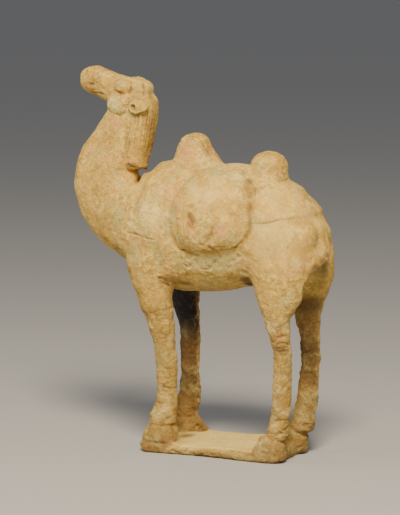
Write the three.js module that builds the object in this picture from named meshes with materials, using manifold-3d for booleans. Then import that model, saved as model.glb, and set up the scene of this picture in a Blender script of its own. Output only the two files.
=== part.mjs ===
// A terracotta Bactrian camel, standing on a thin slab with its head thrown up.
// Units are millimetres, +Z is up, the camel faces -X, and its left side is at -Y.
// The origin is the middle of the slab's underside.
// The figure was pressed in two moulds, its legs and slab were luted on, and it was fired as one piece,
// so every form below is joined into one solid.

import * as THREE from "three";
import { mergeVertices } from "three/addons/utils/BufferGeometryUtils.js";
import Module from "manifold-3d";

const wasm = await Module();
wasm.setup();

// Driving dimensions
const SLAB = { length: 148, width: 76, nearThick: 9.5, farThick: 13.5, corner: 10, wornEdge: 1.6 };
const FOOT_TRACK = 26; // from the middle plane to the middle of each foot
const LEG_TOP_TRACK = 33; // the same at the top of each leg
const FORE_X = -51; // the front shins
const HIND_X = 77; // the hind shins
const FRONT_HUMP = { x: -34, top: 317 };
const REAR_HUMP = { x: 47, top: 302.5, radius: 18.5, collar: 276 };
const BLANKET_THICK = 2.6;
const HEM = { x: 52, z: 236, rise: 0.15 }; // the blanket's hem climbs towards the rump
const NEAR = -1;
const FAR = 1;
const SIDES = [NEAR, FAR];
const CROSSWISE = new THREE.Vector3(0, 1, 0);
const LENGTHWISE = new THREE.Vector3(1, 0, 0);

// One station of a swept form: its middle, its half width along the form's width axis, and its half
// depth square to that axis and to the path.
const at = (x, y, z, deep, wide) => ({ x, y, z, deep, wide });

// Joins values that belong to successive stations with one smooth curve, and reads it at a share of the way.
function smoothly(values) {
  const line = new THREE.SplineCurve(values.map((v, i) => new THREE.Vector2(i, v)));
  return (share) => line.getPoint(share).y;
}

// Moves a point of the unit circle out towards the square around it. An exponent of 2 leaves it a circle.
function squared(a, b, exponent) {
  const reach = Math.abs(a) ** exponent + Math.abs(b) ** exponent;
  const stretch = reach > 0 ? (a * a + b * b) ** 0.5 / reach ** (1 / exponent) : 0;
  return [a * stretch, b * stretch];
}

// A rounded form along a path through the stations. It starts as a unit ball, whose rings are laid along
// the path, and whose first and last rings close the two ends with the given lengths of rounding.
function sweep(stations, options) {
  const { around, along, capRings = 2, ends = [8, 8], square = 2, widthAxis = CROSSWISE } = options;
  const path = new THREE.CatmullRomCurve3(stations.map((s) => new THREE.Vector3(s.x, s.y, s.z)));
  const deepAt = smoothly(stations.map((s) => s.deep));
  const wideAt = smoothly(stations.map((s) => s.wide));
  const rows = along + 2 * capRings;
  const ball = new THREE.SphereGeometry(1, around, rows);
  const place = ball.getAttribute("position");
  const quarter = Math.PI / 2;
  for (let row = 0; row <= rows; row++) {
    const share = THREE.MathUtils.clamp((row - capRings) / along, 0, 1);
    const outside = Math.max(capRings - row, row - capRings - along, 0) / capRings;
    const swell = Math.cos(quarter * outside);
    const overrun = Math.sin(quarter * outside) * (row < capRings ? -ends[0] : ends[1]);
    const ahead = path.getTangent(share);
    const middle = path.getPoint(share).addScaledVector(ahead, overrun);
    const across = widthAxis.clone().addScaledVector(ahead, -widthAxis.dot(ahead)).normalize();
    const depth = new THREE.Vector3().crossVectors(ahead, across);
    const latitude = (Math.PI * row) / rows;
    for (let step = 0; step <= around; step++) {
      const index = row * (around + 1) + step;
      const ring = Math.sin(latitude) || 1;
      const [a, b] = squared(place.getX(index) / ring, place.getZ(index) / ring, square);
      const size = row === 0 || row === rows ? 0 : swell;
      const point = middle
        .clone()
        .addScaledVector(across, a * size * wideAt(share))
        .addScaledVector(depth, b * size * deepAt(share));
      place.setXYZ(index, point.x, point.y, point.z);
    }
  }
  return solid(ball);
}

// A plain egg shape.
function egg(x, y, z, rx, ry, rz, around = 16, rows = 10) {
  return solid(new THREE.SphereGeometry(1, around, rows).rotateX(Math.PI / 2).scale(rx, ry, rz).translate(x, y, z));
}

// A three.js geometry as a solid that can be joined and cut.
function solid(geometry) {
  const bare = geometry.clone();
  bare.deleteAttribute("normal");
  bare.deleteAttribute("uv");
  const merged = mergeVertices(bare, 1e-4);
  const mesh = new wasm.Mesh({
    numProp: 3,
    vertProperties: new Float32Array(merged.getAttribute("position").array),
    triVerts: new Uint32Array(merged.index.array),
  });
  return new wasm.Manifold(mesh);
}

const joined = (forms) => forms.reduce((whole, form) => whole.add(form));

// The trunk, from the chest to the rump.
const TRUNK = [
  at(-91, 0, 224, 42, 37),
  at(-77, 0, 221.5, 52.5, 45),
  at(-58, 0, 223, 62, 50.5),
  at(-34, 0, 224, 63, 49.5),
  at(-8, 0, 224.5, 63, 48),
  at(20, 0, 225.5, 60, 47.5),
  at(48, 0, 220.5, 53, 49),
  at(71, 0, 213, 46, 49),
  at(86, 0, 206, 37, 43),
];

function trunk(grown = 0) {
  const stations = TRUNK.map((s) => ({ ...s, deep: s.deep + grown, wide: s.wide + grown }));
  return sweep(stations, { around: 28, along: 14, capRings: 3, ends: [19 + grown, 17 + grown], square: 2.1 });
}

// The front hump is a soft cone with a thumb-sized tip.
function frontHump() {
  const { x, top } = FRONT_HUMP;
  return sweep(
    [
      at(x - 3, 0, 256, 50, 44),
      at(x - 2, 0, 270, 42, 34),
      at(x + 1, 0, 281, 35, 25.5),
      at(x + 2, 0, 291, 26.5, 20),
      at(x + 0.5, 0, 300, 20, 15),
      at(x, 0, top - 9, 15.5, 12.5),
    ],
    { around: 18, along: 9, capRings: 3, ends: [4, 9] },
  );
}

// The rear hump is a round knob that stands out of the blanket.
function rearHump() {
  const { x, top, radius, collar } = REAR_HUMP;
  return sweep(
    [
      at(x + 1, 0, collar - 16, radius, radius),
      at(x + 0.5, 0, collar, radius, radius),
      at(x, 0, top - 14, radius - 0.5, radius - 1),
    ],
    { around: 18, along: 3, capRings: 4, ends: [4, 14] },
  );
}

// The blanket is a thin coat over the croup, drawn up to the rear hump and cut off along its hem.
function blanket() {
  const { x, radius, collar } = REAR_HUMP;
  const tent = sweep(
    [
      at(x, 0, collar, radius + 1.5, radius + 1.5),
      at(x + 1, 0, collar - 8, radius + 6, radius + 8),
      at(x + 4.5, 0, collar - 20, radius + 14.5, radius + 17),
      at(x + 8, 0, collar - 36, radius + 24, radius + 25),
    ],
    { around: 22, along: 5, capRings: 2, ends: [0.8, 4] },
  );
  const reach = 120;
  const aboveHem = new THREE.BoxGeometry(reach, reach * 2, reach)
    .translate(reach / 2 - 20, 0, reach / 2)
    .rotateY(-Math.atan(HEM.rise))
    .translate(HEM.x, 0, HEM.z);
  return trunk(BLANKET_THICK).add(tent).intersect(solid(aboveHem));
}

// A pair of stuffed bags is slung over the back between the humps. Each hangs on its flank like a pillow,
// and two lobes swell at its foot.
function saddlebags() {
  const halfOfThem = [
    at(8.5, 32.5, 214, 23.5, 39),
    at(7, 34, 230, 24, 43.5),
    at(7.5, 32, 247, 24, 44),
    at(11, 25, 263, 20, 38),
    at(16, 13, 271.5, 16.5, 30),
  ];
  const overBack = at(17, 0, 273, 16.5, 27.5);
  const nearHalf = halfOfThem.map((s) => ({ ...s, y: NEAR * s.y }));
  const sling = sweep([...nearHalf, overBack, ...halfOfThem.toReversed()], {
    around: 24,
    along: 16,
    capRings: 3,
    ends: [9, 9],
    square: 2.3,
    widthAxis: LENGTHWISE,
  });
  const lobes = SIDES.flatMap((side) => [-8, 26].map((x) => egg(x, side * 41, 221.5, 22, 16, 18, 14, 8)));
  return joined([sling, ...lobes]);
}

// The neck rises from the chest in one thick curve.
function neck() {
  return sweep(
    [
      at(-56, 0, 216, 46, 46),
      at(-88, 0, 225, 39, 42.5),
      at(-114, 0, 239.5, 38, 37.5),
      at(-131, 0, 259, 34, 31.5),
      at(-131, 0, 284, 30.5, 27),
      at(-121, 0, 307, 25, 22.5),
      at(-111.5, 0, 327, 21, 19),
      at(-107, 0, 343, 18.5, 17),
    ],
    { around: 22, along: 13, capRings: 2, ends: [6, 6], square: 2.5 },
  );
}

// The mane lies on the back of the neck as one thick lock, cut off square at its foot.
function mane() {
  return sweep(
    [
      at(-89, 0, 351, 10.5, 13),
      at(-89.5, 0, 342, 11.5, 15.5),
      at(-91, 0, 328, 11, 17),
      at(-94, 0, 311, 9, 17.5),
      at(-96.5, 0, 296, 7.5, 17.5),
      at(-97.5, 0, 280.5, 7, 17.5),
    ],
    { around: 18, along: 7, capRings: 2, ends: [3.5, 2], square: 3.2 },
  );
}

// The head points forwards and up, with heavy jowls, round eyes, a tuft on the poll and small curled ears.
function head() {
  const skull = sweep(
    [
      at(-92, 0, 352, 14.5, 15.5),
      at(-106, 0, 354, 16.5, 17),
      at(-122, 0, 358.5, 15, 14.5),
      at(-137, 0, 364.5, 13.8, 12.5),
      at(-147, 0, 367.5, 14.5, 12.5),
      at(-155, 0, 368, 12, 11),
    ],
    { around: 20, along: 10, capRings: 3, ends: [6, 6.5], square: 2.2 },
  );
  const throat = egg(-113, 0, 345, 15.5, 14, 12.5, 16, 10);
  const jowls = SIDES.map((side) => egg(-111.5, side * 11.5, 345, 14, 10.5, 12, 16, 10));
  const tuft = egg(-94.5, 0, 358, 12, 14, 11, 16, 10);
  const eyes = SIDES.map((side) => egg(-106, side * 14, 362, 8.5, 4.5, 6.3, 12, 8));
  const ears = SIDES.map((side) => ear(side));
  return joined([skull, throat, tuft, ...jowls, ...eyes, ...ears]);
}

// A small ear lies back along the mane, with its hollow facing out. The far ear sits a little further forward.
function ear(side) {
  const x = side === NEAR ? -86.5 : -94;
  const shell = egg(x, side * 16.5, 343.5, 9.5, 5, 6.2, 12, 8);
  const hollow = egg(x - 3.5, side * 21.5, 344, 4.2, 3.4, 3, 8, 6);
  return shell.subtract(hollow);
}

// The mouth is a short groove along each side of the lower jaw that ends under a curled lip, with a pit
// above it, and each nostril is a dimple.
function mouth() {
  const groove = new THREE.SphereGeometry(1, 10, 6)
    .rotateX(Math.PI / 2)
    .scale(9, 2.2, 1)
    .rotateY(THREE.MathUtils.degToRad(13));
  return joined(
    SIDES.flatMap((side) => [
      solid(groove.clone().translate(-140, side * 12.6, 357.8)),
      egg(-143.5, side * 13.2, 364, 2.2, 2.4, 1.6, 8, 6),
      egg(-151.5, side * 11.2, 375.5, 1.9, 2.2, 1.3, 8, 6),
    ]),
  );
}

// A front leg: the upper arm swells out of the shoulder, and the shin ends in a ring over the foot.
function foreleg(side, shift) {
  const track = (share) => side * THREE.MathUtils.lerp(FOOT_TRACK, LEG_TOP_TRACK, share);
  const x = FORE_X + shift;
  return sweep(
    [
      at(x - 10, track(0.3), 224, 22, 19),
      at(x - 15.5, track(0.6), 198, 28, 18.5),
      at(x - 12.5, track(0.9), 169, 22, 17.5),
      at(x - 9.5, track(1), 153, 18, 15.5),
      at(x - 6, track(1), 142, 14.2, 14),
      at(x - 3.5, track(0.9), 128, 11.8, 12.2),
      at(x - 0.2, track(0.65), 106, 10.6, 10.8),
      at(x + 0.5, track(0.35), 78, 10.2, 10),
      at(x + 0.8, track(0.2), 58, 9.8, 9.8),
      at(x - 1, track(0.1), 46, 10.5, 10.6),
      at(x - 4, track(0), 37, 12.5, 12.2),
      at(x - 4.5, track(0), 30, 12.8, 12.4),
    ],
    { around: 12, along: 17, capRings: 2, ends: [6, 4] },
  );
}

// A hind leg: the haunch narrows to the shin, whose foot end stands out behind the foot.
function hindleg(side, shift) {
  const track = (share) => side * THREE.MathUtils.lerp(FOOT_TRACK, LEG_TOP_TRACK, share);
  const x = HIND_X + shift;
  return sweep(
    [
      at(x - 6, track(0), 232, 24, 14),
      at(x - 5.5, track(0.3), 210, 29, 19),
      at(x - 4, track(0.6), 190, 28.5, 19.5),
      at(x - 5, track(0.95), 171, 25, 17.5),
      at(x - 5, track(1), 150, 16.7, 13.7),
      at(x - 4, track(1), 138, 12.8, 12),
      at(x - 1, track(0.75), 116, 9.6, 9.8),
      at(x + 0.5, track(0.6), 97, 8.7, 9),
      at(x - 1, track(0.35), 70, 9.4, 9.3),
      at(x - 3, track(0.15), 48, 9.8, 9.8),
      at(x - 6.5, track(0), 31, 11, 10.8),
      at(x - 7, track(0), 25, 11.6, 11),
    ],
    { around: 12, along: 17, capRings: 2, ends: [8, 3] },
  );
}

// A foot is a blunt block that leans out at the toe and sinks into the slab. Its outline steps down
// from the ankle to the sole in equal lifts.
function foot(side, { ankle, sole, top, bottom, half }) {
  const lifts = [0, 0.3, 0.62, 1];
  const flare = [0, 0.45, 0.88, 1];
  const stations = lifts.map((lift, i) => {
    const [front, back] = [0, 1].map((end) => THREE.MathUtils.lerp(ankle[end], sole[end], flare[i]));
    const z = THREE.MathUtils.lerp(top, bottom, lift);
    return at((front + back) / 2, side * (FOOT_TRACK + 0.5), z, (back - front) / 2, half);
  });
  return sweep(stations, { around: 14, along: 4, capRings: 1, ends: [2, 1], square: 2.8 });
}

// The slab is a hand-cut plate with worn rims, drawn in a little along its sides and thicker at the far side.
function slab() {
  const { length, width, nearThick, farThick, corner, wornEdge } = SLAB;
  const [halfLength, halfWidth] = [length / 2 - wornEdge, width / 2 - wornEdge];
  const drawnIn = 2; // how far the middle of each side bows inwards
  const outline = new THREE.Shape();
  outline.moveTo(-halfLength + corner, -halfWidth);
  outline.quadraticCurveTo(0, -halfWidth + drawnIn, halfLength - corner, -halfWidth);
  outline.quadraticCurveTo(halfLength, -halfWidth, halfLength, -halfWidth + corner);
  outline.quadraticCurveTo(halfLength - drawnIn, 0, halfLength, halfWidth - corner);
  outline.quadraticCurveTo(halfLength, halfWidth, halfLength - corner, halfWidth);
  outline.quadraticCurveTo(0, halfWidth - drawnIn, -halfLength + corner, halfWidth);
  outline.quadraticCurveTo(-halfLength, halfWidth, -halfLength, halfWidth - corner);
  outline.quadraticCurveTo(-halfLength + drawnIn, 0, -halfLength, -halfWidth + corner);
  outline.quadraticCurveTo(-halfLength, -halfWidth, -halfLength + corner, -halfWidth);
  const plate = new THREE.ExtrudeGeometry(outline, {
    depth: nearThick - 2 * wornEdge,
    curveSegments: 5,
    bevelThickness: wornEdge,
    bevelSize: wornEdge,
    bevelSegments: 1,
  });
  plate.translate(0, 0, wornEdge);
  const place = plate.getAttribute("position");
  for (let i = 0; i < place.count; i++) {
    const acrossShare = place.getY(i) / width + 0.5;
    const lift = place.getZ(i) > nearThick / 2 ? (farThick - nearThick) * acrossShare : 0;
    place.setZ(i, place.getZ(i) + lift);
  }
  return solid(plate);
}

// The short tail lies down the rump and curls to the near side, where its tip is pressed onto the haunch.
function tail() {
  return sweep(
    [
      at(84, 0, 243, 9, 7),
      at(94, 0, 232, 9, 10),
      at(100, -1, 217, 9, 12),
      at(100.5, -7, 203, 9, 12.5),
      at(98, -18, 191.5, 8.5, 10.5),
      at(93, -28, 184, 8, 9),
    ],
    { around: 10, along: 8, capRings: 2, ends: [5, 5] },
  );
}

const FORE_FOOT = { ankle: [-67, -42], sole: [-78.5, -40], top: 28, bottom: 5, half: 12.8 };
const HIND_FOOT = { ankle: [53, 80], sole: [46.5, 78.5], top: 22, bottom: 3, half: 12.6 };

const legs = [
  foreleg(NEAR, 0),
  foreleg(FAR, -3.5), // the far front leg stands a little further forward
  hindleg(NEAR, 0),
  hindleg(FAR, 2.5), // and the far hind leg a little further back
  ...SIDES.flatMap((side) => [foot(side, FORE_FOOT), foot(side, HIND_FOOT)]),
];

const figure = joined([
  trunk(),
  frontHump(),
  blanket(),
  rearHump(),
  saddlebags(),
  neck(),
  mane(),
  head(),
  tail(),
  ...legs,
  slab(),
]).subtract(mouth());

function meshOf(form, name, material) {
  const { numProp, numVert, vertProperties, triVerts } = form.getMesh();
  const points = new Float32Array(numVert * 3);
  for (let i = 0; i < numVert; i++) {
    points.set(vertProperties.subarray(i * numProp, i * numProp + 3), i * 3);
  }
  const geometry = new THREE.BufferGeometry();
  geometry.setAttribute("position", new THREE.BufferAttribute(points, 3));
  geometry.setIndex(new THREE.BufferAttribute(triVerts, 1));
  geometry.computeVertexNormals();
  const mesh = new THREE.Mesh(geometry, material);
  mesh.name = name;
  return mesh;
}

const terracotta = new THREE.MeshStandardMaterial({ color: 0xd2b486, roughness: 0.9, metalness: 0 });

const camel = new THREE.Group();
camel.add(meshOf(figure, "camel_figure", terracotta));

export default camel;
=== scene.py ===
import math

import bpy
import numpy as np
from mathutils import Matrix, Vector, noise


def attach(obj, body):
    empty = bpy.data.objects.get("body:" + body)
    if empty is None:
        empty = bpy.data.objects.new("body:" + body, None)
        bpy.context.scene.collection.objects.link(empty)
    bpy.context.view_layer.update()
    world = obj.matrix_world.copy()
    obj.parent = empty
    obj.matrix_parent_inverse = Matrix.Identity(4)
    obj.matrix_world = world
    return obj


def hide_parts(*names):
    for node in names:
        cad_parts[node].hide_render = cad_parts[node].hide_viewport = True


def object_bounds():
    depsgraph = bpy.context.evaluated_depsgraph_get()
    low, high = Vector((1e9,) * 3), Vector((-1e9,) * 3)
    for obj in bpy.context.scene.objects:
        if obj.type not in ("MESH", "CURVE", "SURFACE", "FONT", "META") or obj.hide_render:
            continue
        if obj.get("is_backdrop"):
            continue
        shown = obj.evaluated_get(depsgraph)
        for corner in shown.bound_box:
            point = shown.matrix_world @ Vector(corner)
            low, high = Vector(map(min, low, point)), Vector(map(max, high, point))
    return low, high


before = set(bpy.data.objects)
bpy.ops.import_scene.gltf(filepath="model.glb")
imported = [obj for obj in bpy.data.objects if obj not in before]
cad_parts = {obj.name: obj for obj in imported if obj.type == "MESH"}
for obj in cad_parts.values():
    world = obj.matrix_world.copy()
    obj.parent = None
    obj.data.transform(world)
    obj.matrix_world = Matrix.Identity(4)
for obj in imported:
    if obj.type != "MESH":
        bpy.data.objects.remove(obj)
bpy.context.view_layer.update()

# The body
# A hollow camel of low-fired terracotta. Its two halves were pressed in moulds and joined along the
# back and belly, and the legs were rolled by hand and luted on. The clay is thick and softly rounded,
# so the carried-over shape is turned into one skin and its facets are rubbed away.
MM = 0.001
FIRST_SKIN = 1.2 * MM
FACET_RUBS = 34
RUBBED_AWAY = 0.42


def take_up(thing):
    """Selects one object alone and makes it active."""
    bpy.ops.object.select_all(action="DESELECT")
    thing.select_set(True)
    bpy.context.view_layer.objects.active = thing


def work(thing, kind, **settings):
    """Puts one modifier on a piece and applies it."""
    take_up(thing)
    step = thing.modifiers.new(kind.lower(), kind)
    for key, value in settings.items():
        setattr(step, key, value)
    bpy.ops.object.modifier_apply(modifier=step.name)


def places(thing):
    """A piece's points as rows of x, y and z in millimetres."""
    flat = np.empty(len(thing.data.vertices) * 3)
    thing.data.vertices.foreach_get("co", flat)
    return flat.reshape(-1, 3) / MM


def outward(thing):
    """The direction that the surface faces at each point."""
    flat = np.empty(len(thing.data.vertices) * 3)
    thing.data.vertices.foreach_get("normal", flat)
    return flat.reshape(-1, 3)


def put_back(thing, rows):
    """Moves a piece's points to the given rows, in millimetres."""
    thing.data.vertices.foreach_set("co", (rows * MM).ravel())
    thing.data.update()


def closeness(rows, centre, radii):
    """1 at the centre of an egg-shaped reach, 0 at its edge and beyond."""
    away = np.sqrt((((rows - np.array(centre, float)) / radii) ** 2).sum(1))
    near = np.clip(1 - away, 0, 1)
    return near * near * (3 - 2 * near)


camel = bpy.data.objects.new("camel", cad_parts["camel_figure"].data.copy())
bpy.context.scene.collection.objects.link(camel)
camel.data.materials.clear()
take_up(camel)
bpy.ops.object.mode_set(mode="EDIT")
bpy.ops.mesh.select_all(action="SELECT")
bpy.ops.mesh.remove_doubles(threshold=1e-6)
bpy.ops.object.mode_set(mode="OBJECT")
work(camel, "REMESH", mode="VOXEL", voxel_size=FIRST_SKIN)
work(camel, "SMOOTH", factor=0.5, iterations=FACET_RUBS)
put_back(camel, places(camel) + outward(camel) * RUBBED_AWAY)

# Wet clay shifts under the palm: each push moves the skin around one place by a small amount
PUSHES = [
    ((-72, 0, 268), (17, 34, 15), (0, 0, 3.5)),  # the withers, behind the neck
    ((-83, 0, 264), (7, 30, 8), (-1.5, 0, 3.5)),
    ((-76, 0, 270), (9, 30, 9), (-2.5, 0, 2)),
    ((-95, 0, 271), (8, 22, 8), (-2.5, 0, -7.5)),
    ((-84, 0, 275), (6, 24, 5), (-4, 0, 0)),
    ((-101, 2, 272), (6, 16, 6), (-3.5, 0, 0)),
    ((-87, 0, 270), (6, 24, 7), (-4, 0, 1.5)),
    ((-102, 8, 272), (6, 10, 6), (-3.5, 0, -1)),
    ((-104, 16, 274), (6, 8, 8), (-3, 0, 0)),
    ((-97, 0, 277), (7, 16, 5), (0, 0, 4)),
    ((-90, -14, 267), (5, 8, 6), (0, 0, -3)),
    ((-85, 0, 300), (8, 22, 22), (1.5, 0, 0)),  # the mane's back
    ((-90, 15, 286), (6, 8, 7), (-2, 0, 0)),
    ((-60, 0, 281), (12, 30, 10), (0, 0, -2)),
    ((-12, 0, 296), (11, 22, 13), (-1.5, 0, -2.5)),  # behind the front hump
    ((26, 0, 282), (18, 40, 12), (0, 0, -2)),  # the saddle
    ((48, 0, 300), (26, 26, 12), (0, 0, -1.0)),
    ((86, 0, 258), (14, 30, 14), (-1, 0, -1)),  # the croup behind the rear hump
    ((99, 0, 238), (14, 34, 16), (-3.4, 0, -1)),  # the rump, over the tail
    ((70, 0, 276), (8, 26, 9), (-1.5, 0, -2.5)),
    ((93, -35, 161), (8, 10, 15), (6.3, 0, 0)),  # the near haunch's rear edge
    ((-112, 0, 352), (12, 30, 8), (1.5, 0, 1)),  # the throat, under the jaw
    ((-76, -34, 160), (10, 18, 13), (2.6, 0, 0)),  # the near front thigh, at the front
    ((-44, -30, 128), (9, 16, 30), (1.2, 0, 0)),  # the near front shin, at the back
    ((-62, 30, 124), (9, 12, 30), (1.6, 0, 0)),  # the far front shin, at the front
    ((-44, 26, 44), (12, 18, 18), (3.5, 0, 0)),  # the far front shin, above its heel
    ((72, 30, 6), (8, 22, 16), (-3, 0, 0)),  # the slab's rear end
    ((-72, -34, 2), (10, 10, 8), (-2.5, -2, 0)),  # its near front corner
    ((40, 38, 13), (26, 8, 8), (0, 0, 1.5)),
    ((22, -38, 10), (24, 8, 7), (0, 0, 1.8)),
    ((-6, -38, 1), (34, 7, 5), (0, 1.2, 2.2)),  # its near edge, worn away underneath
    ((8, -50, 224), (40, 22, 24), (0, -2.5, 0)),  # the full foot of each bag
    ((8, 50, 224), (40, 22, 24), (0, 2.5, 0)),
]
rows = places(camel)
for centre, radii, move in PUSHES:
    rows = rows + closeness(rows, centre, np.array(radii) * 1.6)[:, None] * np.array(move)
put_back(camel, rows)

# Where the legs run into the shoulders, haunches and belly, a wet thumb blended the clay
BLENDS = [
    ((-64, 38, 188), (32, 22, 38)),
    ((-60, 30, 170), (26, 20, 20)),
    ((74, 38, 205), (38, 22, 34)),
    ((48, 34, 178), (20, 20, 18)),
    ((92, 22, 190), (18, 30, 30)),
    ((-100, 30, 226), (20, 22, 28)),
    ((-78, 0, 262), (20, 40, 12)),
    ((-87, 15, 302), (9, 7, 18)),
    ((12, 46, 205), (22, 10, 7)),
]
THUMB_RUBS = 80


def rub(thing, spots, rubs):
    """Smooths a piece around the given spots, on both sides of its middle."""
    rows = places(thing)
    share = np.zeros(len(rows))
    for centre, radii in spots:
        for side in (-1, 1):
            away = (rows - np.array(centre) * (1, side, 1)) / radii
            share = np.maximum(share, np.clip(1.5 - np.sqrt((away**2).sum(1)), 0, 1))
    rubbed = thing.vertex_groups.new(name="rubbed")
    for level in range(1, 11):
        chosen = np.flatnonzero((share > (level - 1) / 10) & (share <= level / 10))
        rubbed.add(chosen.tolist(), level / 10, "REPLACE")
    work(thing, "SMOOTH", factor=0.5, iterations=rubs, vertex_group="rubbed")
    thing.vertex_groups.clear()


rub(camel, BLENDS, THUMB_RUBS)

# The head
# It is part of the moulded body. The eyelids, brows and lips are thin rolls of clay, laid on and
# pressed down, and every other line of the face was drawn with a pointed stick before firing.
rolls = []


def lay_roll(line, thick, sides=(1, -1)):
    """Lays a roll of clay along a line of points, thinner at its ends, on the near and far side."""
    for side in sides:
        curve = bpy.data.curves.new("roll", "CURVE")
        curve.dimensions = "3D"
        curve.bevel_depth = thick * MM
        curve.bevel_resolution = 2
        curve.resolution_u = 5
        curve.use_fill_caps = True
        strand = curve.splines.new("BEZIER")
        strand.bezier_points.add(len(line) - 1)
        for i, (x, y, z) in enumerate(line):
            knot = strand.bezier_points[i]
            knot.co = (x * MM, side * y * MM, z * MM)
            knot.handle_left_type = knot.handle_right_type = "AUTO"
            knot.radius = 0.55 if i in (0, len(line) - 1) else 1.0
        roll = bpy.data.objects.new("roll", curve)
        bpy.context.scene.collection.objects.link(roll)
        take_up(roll)
        bpy.ops.object.convert(target="MESH")
        rolls.append(bpy.context.object)


def lay_pellet(centre, radii, sides=(1, -1), turn=0.0):
    """Presses on a pellet of clay, turned about the crosswise axis."""
    for side in sides:
        x, y, z = centre
        bpy.ops.object.select_all(action="DESELECT")
        bpy.ops.mesh.primitive_uv_sphere_add(
            segments=24, ring_count=14, radius=MM, location=(x * MM, side * y * MM, z * MM)
        )
        pellet = bpy.context.object
        pellet.scale = radii
        pellet.rotation_euler = (0, math.radians(turn), 0)
        bpy.ops.object.transform_apply(location=True, rotation=True, scale=True)
        rolls.append(pellet)


lay_pellet((-107.4, -13.8, 362.4), (9.2, 6.4, 7.2), turn=-8)
lay_pellet((-111.5, -11.6, 345), (14, 10.4, 12))
lay_pellet((-93.6, 0, 358.6), (12, 14.6, 10.6), sides=(1,))
lay_pellet((-100, -8, 365.6), (8, 6, 4.6))
lay_roll([(-119, -11, 366), (-113, -12.2, 369.3), (-105, -11.6, 370.6), (-98, -10.6, 369)], 1.3)
lay_pellet((-141.5, -10.6, 361.3), (3.6, 2.4, 2.5), turn=20)
lay_roll([(-154, -8.4, 371.5), (-154.4, -8.8, 375.5), (-151.5, -9.2, 378.6), (-148, -9.4, 378.4)], 1.0)
lay_roll([(-152, -7.6, 360), (-146, -9.4, 358.2), (-138, -10.2, 355.6), (-130, -11, 352.8)], 1.4)

MANE_FOOT = [(-94, -14.8, 283), (-91.8, -8, 282), (-91.4, 0, 280.8), (-92.6, 8, 279.6), (-95.4, 14, 279.6)]
lay_roll(MANE_FOOT, 2.2, sides=(1,))
lay_roll([(-103.4, -15.6, 288), (-98, -16.6, 284.2), (-91, -15.4, 282.4)], 2.2, sides=(1,))
lay_roll([(-103.4, 15.6, 288), (-99.6, 16.4, 284.2), (-96.4, 15.2, 281.2)], 2.2, sides=(1,))
lay_pellet((-104, -4, 271), (6.5, 11, 10), sides=(1,))

# The ears
# Each is a small leaf of clay laid back along the mane, with its front edge curled round its hollow.
EAR_CURL = [
    (-89.5, -20, 344.2),
    (-91.5, -20.6, 346.4),
    (-94.6, -20, 345.6),
    (-95.8, -19.6, 342),
    (-94, -19.8, 338.6),
    (-89, -20.2, 336.9),
    (-83.5, -20, 338.2),
    (-79, -18.4, 341),
    (-76.5, -16.6, 344),
]
lay_roll(EAR_CURL, 1.35, sides=(1,))
lay_roll([(x - 7.5, y, z) for x, y, z in EAR_CURL], 1.35, sides=(-1,))
lay_pellet((-85.5, -17.6, 342.4), (9.2, 4.6, 5.6), sides=(1,), turn=12)
lay_roll([(-77, -16.4, 345), (-83, -18, 347.8), (-89, -18.6, 349), (-94, -18, 348)], 1.1, sides=(1,))

# The legs and feet
# Each leg is a solid roll of clay, smeared on by hand, with a thick ring at the pastern and a blunt
# two-toed foot. Clay was pinched up as a web behind the far front foot and a spur over a hind one.
lay_roll([(-46, 25, 24), (-41, 28, 17.5), (-36, 31, 12.6), (-32, 33, 10.5)], 3.8, sides=(1,))
lay_roll([(-47, 24, 33), (-44, 26, 25), (-40, 28, 17), (-37, 29, 11)], 4.2, sides=(1,))
lay_pellet((78, 26, 29.5), (7, 9, 3.6), sides=(1,), turn=-8)
for x, z, wide, deep in ((-56, 38.5, 12.6, 13.6), (-56, 29.5, 13, 14)):
    lay_pellet((x, -26, z), (deep, wide, 3.4), sides=(1,), turn=-4)
for x, z, wide, deep in ((70.5, 29, 11.6, 12.4),):
    lay_pellet((x, -26, z), (deep, wide, 3.0), turn=4)

# The tail
# A flat roll laid down the middle of the rump, which curls under to the near side.
TAIL = [(90, 4, 242), (98, 5.5, 235), (103, 4.5, 227), (107, 3, 216), (110.2, 1.5, 206), (110.8, -3, 201.5),
        (108.4, -11, 197), (104.6, -20, 192), (101.4, -26.5, 186.5), (98.6, -31, 179.6), (95.6, -34.5, 171),
        (91, -38, 161)]
lay_roll(TAIL, 3.2, sides=(1,))
lay_roll([(99, 1.5, 235), (103.4, 0, 226), (106.8, -2, 216), (109, -5, 206.5), (107.6, -12, 200)], 2.6, sides=(1,))
lay_pellet((94, -21, 202), (9.5, 13, 12), sides=(1,))

# The one skin
# The parts are joined, turned into a single closed skin and rubbed over with a wet cloth.
SKIN = 1.0 * MM
CLOTH_RUBS = 5
bpy.ops.object.select_all(action="DESELECT")
for roll in rolls:
    roll.select_set(True)
camel.select_set(True)
bpy.context.view_layer.objects.active = camel
bpy.ops.object.join()
work(camel, "REMESH", mode="VOXEL", voxel_size=SKIN)
work(camel, "SMOOTH", factor=0.5, iterations=CLOTH_RUBS)
rub(camel, [((103, -8, 225), (7, 8, 17))], 40)  # the tail's near edge, thumbed into the rump

rows = places(camel)
facing = outward(camel)
line_dirt = np.zeros(len(rows))  # how much of a drawn line lies at each point, for the soil in it


UNSTEADY_EVERY = 6
UNSTEADY_BY = 0.9


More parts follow.
